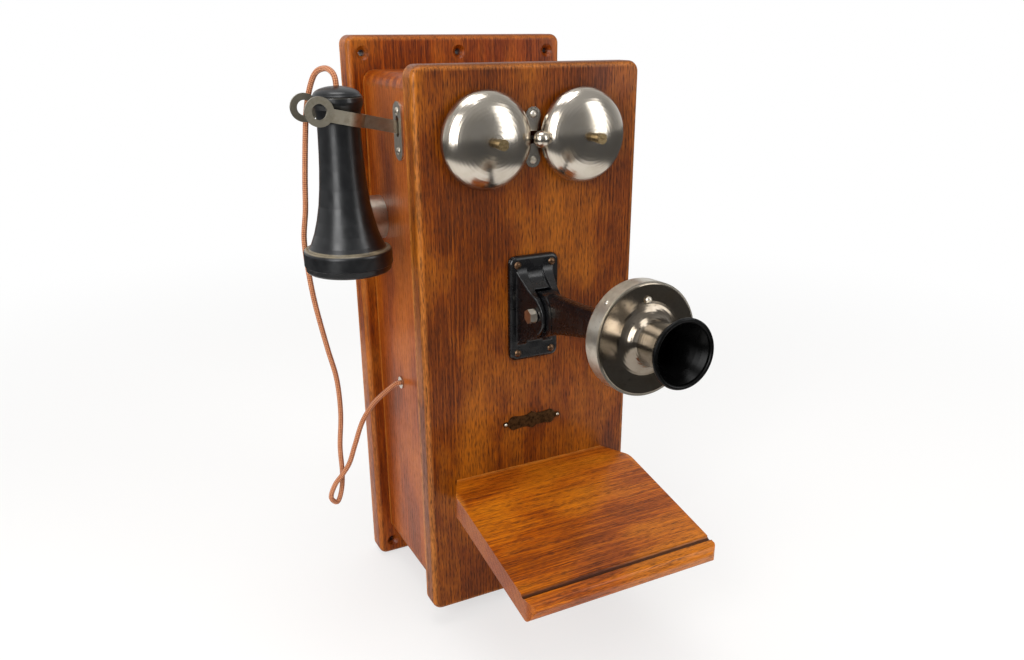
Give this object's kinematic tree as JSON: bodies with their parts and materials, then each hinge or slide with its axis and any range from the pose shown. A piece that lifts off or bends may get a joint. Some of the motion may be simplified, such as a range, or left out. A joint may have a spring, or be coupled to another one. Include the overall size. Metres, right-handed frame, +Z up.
{
  "type": "wall telephone",
  "caption": "Oak wall telephone: hinged door with gongs, tilting transmitter and writing shelf, receiver on a switch hook, push button and corded receiver.",
  "frame": {"origin": "centre of the backboard's back face, where it meets the wall", "axes": "+X to the user's right, -Y out of the wall towards the user, +Z up along the backboard"},
  "size_m": [0.2795, 0.3708, 0.512],
  "materials": {
    "oak_case": "varnished oak, satin",
    "oak_door": "varnished oak, satin",
    "nickel": "worn nickel plate",
    "brass": "aged brass",
    "steel": "bright steel",
    "magnet_steel": "dark hardened steel",
    "japan": "black japanned iron",
    "bronzed_screw": "bronzed brass",
    "badge_bronze": "dark bronze",
    "hard_rubber": "polished hard rubber",
    "coil_winding": "cotton-covered copper winding",
    "tinned_can": "tinned sheet",
    "cotton_cord": "braided cotton"
  },
  "bodies": {
    "cabinet": {"backboard": "oak_case", "side_left": "oak_case", "side_right": "oak_case", "top_panel": "oak_case", "bottom_panel": "oak_case", "hook_plate": "nickel", "hook_plate_screws": "brass", "switch_bracket": "steel", "hook_pivot_pin": "steel", "switch_springs": "brass", "button_shell": "nickel", "button_spring": "steel", "cord_grommet": "nickel", "hinge_leaves_case": "brass", "hinge_pins": "brass", "terminal_block": "oak_door", "terminal_screws": "brass", "induction_coil": "coil_winding", "condenser": "tinned_can"},
    "door": {"door_panel": "oak_door", "hinge_leaves_door": "brass", "gong_left": "nickel", "gong_right": "nickel", "gong_posts": "brass", "clapper_plate": "nickel", "clapper_plate_screws": "brass", "ringer_frame": "steel", "ringer_coils": "coil_winding", "ringer_magnet": "magnet_steel", "arm_bracket": "japan", "bracket_screws": "bronzed_screw", "pivot_bolt": "brass", "pivot_nut": "brass", "shelf": "oak_case", "badge_plate": "badge_bronze", "badge_pins": "brass"},
    "clapper": {"clapper_armature": "steel", "clapper_rod": "steel", "clapper_ball": "nickel"},
    "transmitter": {"transmitter_arm": "japan", "transmitter_cup": "nickel", "faceplate": "nickel", "transmitter_screws": "brass", "transmitter_diaphragm": "steel", "carbon_button": "brass", "button_bridge": "brass", "mouthpiece_socket": "nickel", "mouthpiece": "hard_rubber"},
    "receiver": {"receiver_shell": "hard_rubber", "tail_cap": "hard_rubber", "ear_cap": "hard_rubber", "receiver_diaphragm": "steel", "receiver_magnet": "magnet_steel", "receiver_coils": "coil_winding", "receiver_cord": "cotton_cord"},
    "switch_hook": {"hook_lever": "nickel"},
    "push_button": {"button_plunger": "hard_rubber"}
  },
  "joints": [
    {"name": "door_swing", "type": "hinge", "parent": "cabinet", "child": "door", "pos_m": [0.0946, -0.1384, 0], "axis": [0, 0, 1], "range_deg": [0, 110]},
    {"name": "transmitter_tilt", "type": "hinge", "parent": "door", "child": "transmitter", "pos_m": [0, -0.187, 0.042], "axis": [1, 0, 0], "range_deg": [-20, 20]},
    {"name": "clapper_swing", "type": "hinge", "parent": "door", "child": "clapper", "pos_m": [0, -0.12, 0.116], "axis": [0, 1, 0], "range_deg": [-1.4, 1.4]},
    {"name": "receiver_lift", "type": "slide", "parent": "cabinet", "child": "receiver", "axis": [-0.866, 0, 0.5], "range_m": [0, 0.12]},
    {"name": "hook_pivot", "type": "hinge", "parent": "cabinet", "child": "switch_hook", "pos_m": [-0.073, -0.105, 0.18379], "axis": [0, 1, 0], "range_deg": [0, 8.1]},
    {"name": "side_button_push", "type": "slide", "parent": "cabinet", "child": "push_button", "axis": [1, 0, 0], "range_m": [0, 0.0025], "stiffness_N_per_m": 400, "springref_m": -0.002, "deforming": ["button_spring"]}
  ],
  "couplings": [
    {"joint": "hook_pivot", "follows": "receiver_lift", "rad_per_m": 1.1636}
  ]
}
